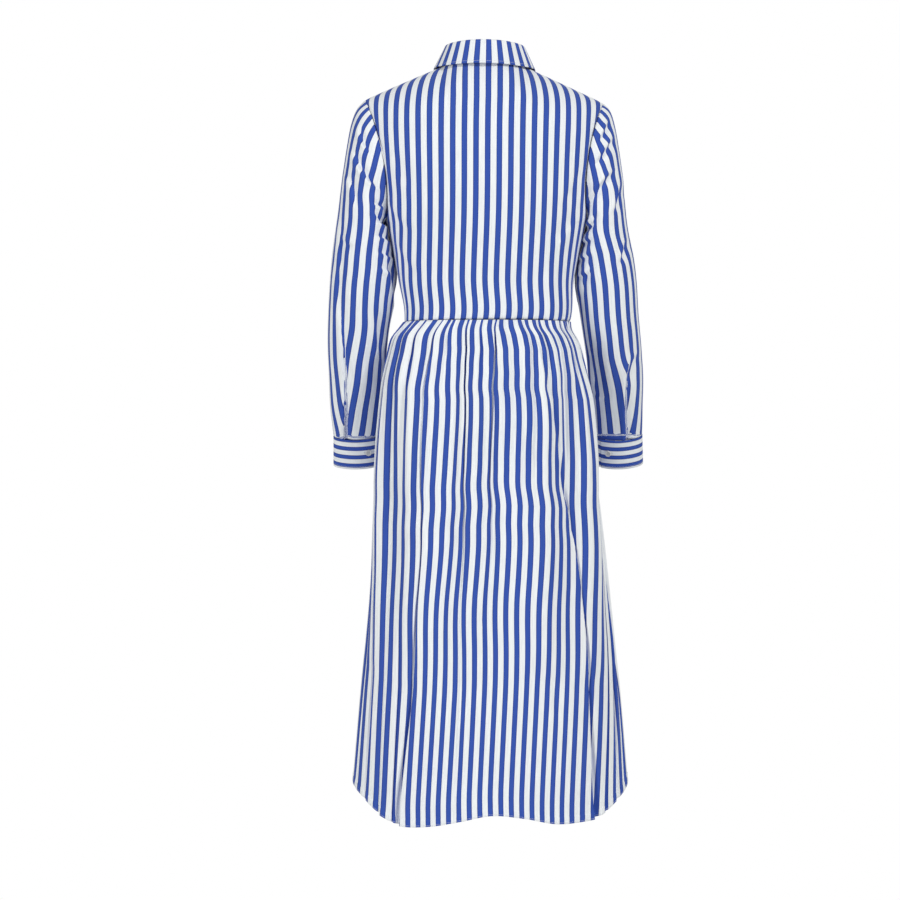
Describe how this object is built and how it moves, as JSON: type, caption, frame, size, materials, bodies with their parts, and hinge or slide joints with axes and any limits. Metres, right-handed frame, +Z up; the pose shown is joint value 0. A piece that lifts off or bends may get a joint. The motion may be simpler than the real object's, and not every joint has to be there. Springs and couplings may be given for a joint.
{
  "type": "shirt dress",
  "caption": "Long-sleeved midi shirt dress in striped cotton, collared and buttoned, gathered at the waist seam, with a curved hem; filled out as if worn.",
  "frame": {"origin": "middle of the neck's base, level with the inner ends of the shoulder seams, where the wearer's neck and shoulders hold the dress up", "axes": "+Z up, +X to the wearer's left, the front of the dress faces -Y"},
  "size_m": [0.5152, 0.2941, 1.2375],
  "materials": {
    "striped_cotton": "matt crisp cotton poplin, woven blue and white stripes 9 mm wide",
    "button_white": "white satin plastic, four holes"
  },
  "bodies": {
    "root": {"bodice_back": "striped_cotton", "bodice_front_left": "striped_cotton", "bodice_front_right": "striped_cotton", "placket_bodice": "striped_cotton", "placket_skirt": "striped_cotton", "collar_stand": "striped_cotton", "collar_fall": "striped_cotton", "sleeve_left": "striped_cotton", "sleeve_right": "striped_cotton", "cuff_left": "striped_cotton", "cuff_right": "striped_cotton", "skirt_back": "striped_cotton", "skirt_front_left": "striped_cotton", "skirt_front_right": "striped_cotton", "button_collar": "button_white", "button_bodice_1": "button_white", "button_bodice_2": "button_white", "button_bodice_3": "button_white", "button_bodice_4": "button_white", "button_bodice_5": "button_white", "button_skirt_1": "button_white", "button_skirt_2": "button_white", "button_skirt_3": "button_white", "button_skirt_4": "button_white", "button_skirt_5": "button_white", "button_skirt_6": "button_white", "button_cuff_left": "button_white", "button_cuff_right": "button_white"}
  },
  "joints": []
}
